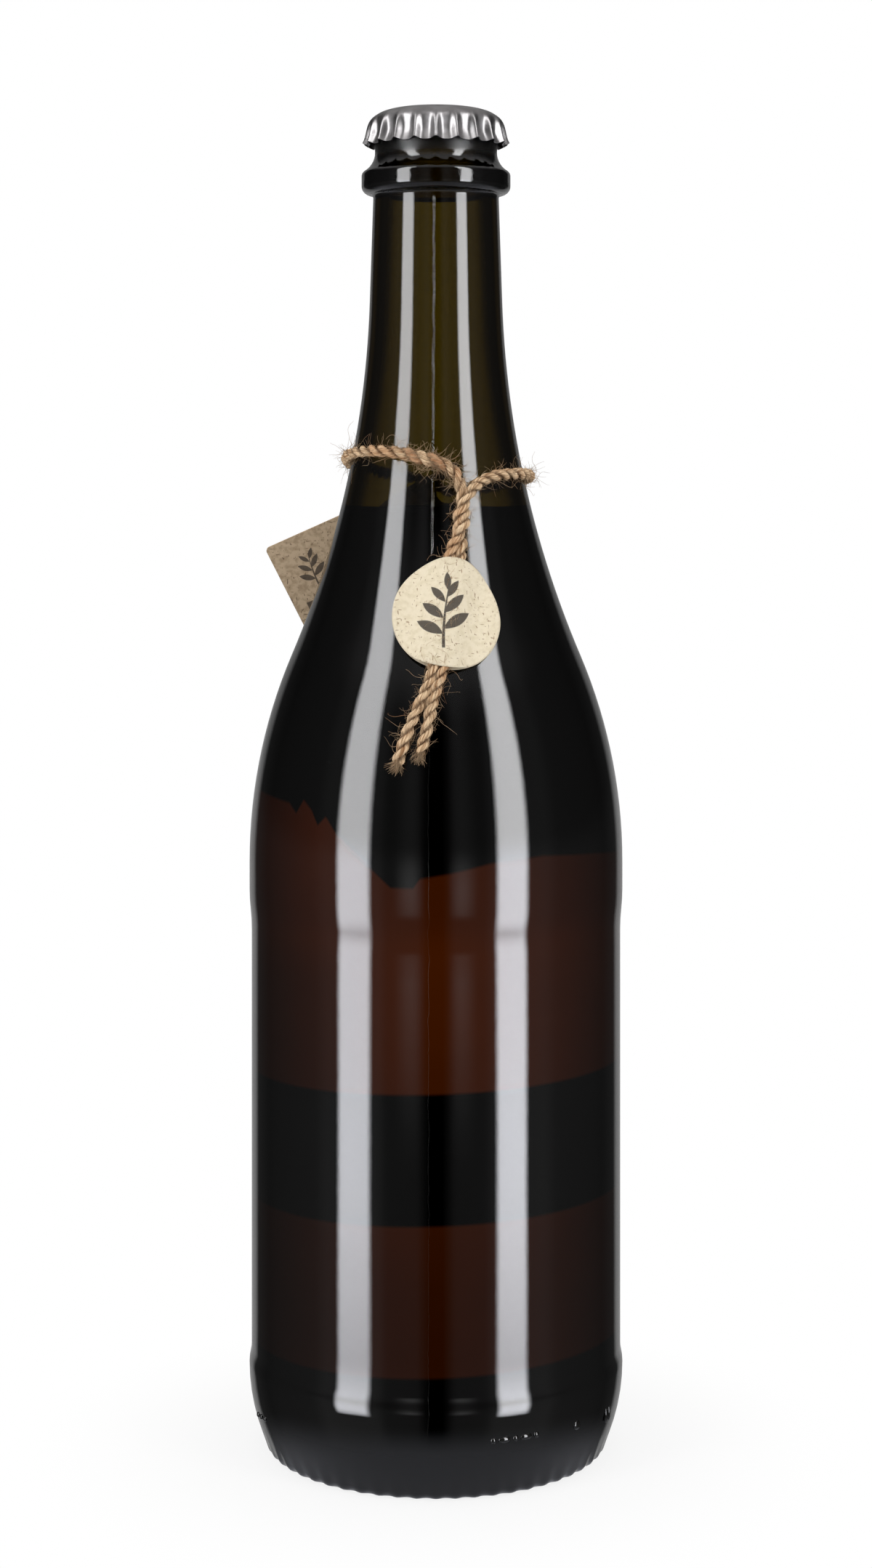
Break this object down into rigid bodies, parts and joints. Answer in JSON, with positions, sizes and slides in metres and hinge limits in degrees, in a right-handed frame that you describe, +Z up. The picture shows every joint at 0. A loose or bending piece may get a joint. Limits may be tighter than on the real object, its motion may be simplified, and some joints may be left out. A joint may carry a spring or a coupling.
{
  "type": "wine bottle",
  "caption": "Dark olive glass wine bottle, full, closed by a fluted crown cap, with jute twine round its neck that holds a kraft tag and a round paper seal.",
  "frame": {"origin": "centre of the flat ring that the bottle stands on", "axes": "+Z up along the bottle's axis; -Y is the front, where the seal hangs; the tag and the labels are on the +Y side"},
  "size_m": [0.083, 0.0889, 0.2976],
  "materials": {
    "glass": "clear dark olive, fire polished",
    "wine": "liquid, very dark red",
    "cap_steel": "bright tinplate",
    "jute": "twisted, hairy",
    "seal_paper": "uncoated flecked paper",
    "kraft_card": "uncoated kraft card",
    "label_paper": "uncoated paper"
  },
  "bodies": {
    "root": {"bottle": "glass", "wine": "wine", "crown_cap": "cap_steel", "twine": "jute", "seal_front": "seal_paper", "seal_back": "seal_paper", "hang_tag": "kraft_card", "label_upper": "label_paper", "label_lower": "label_paper"}
  },
  "joints": []
}
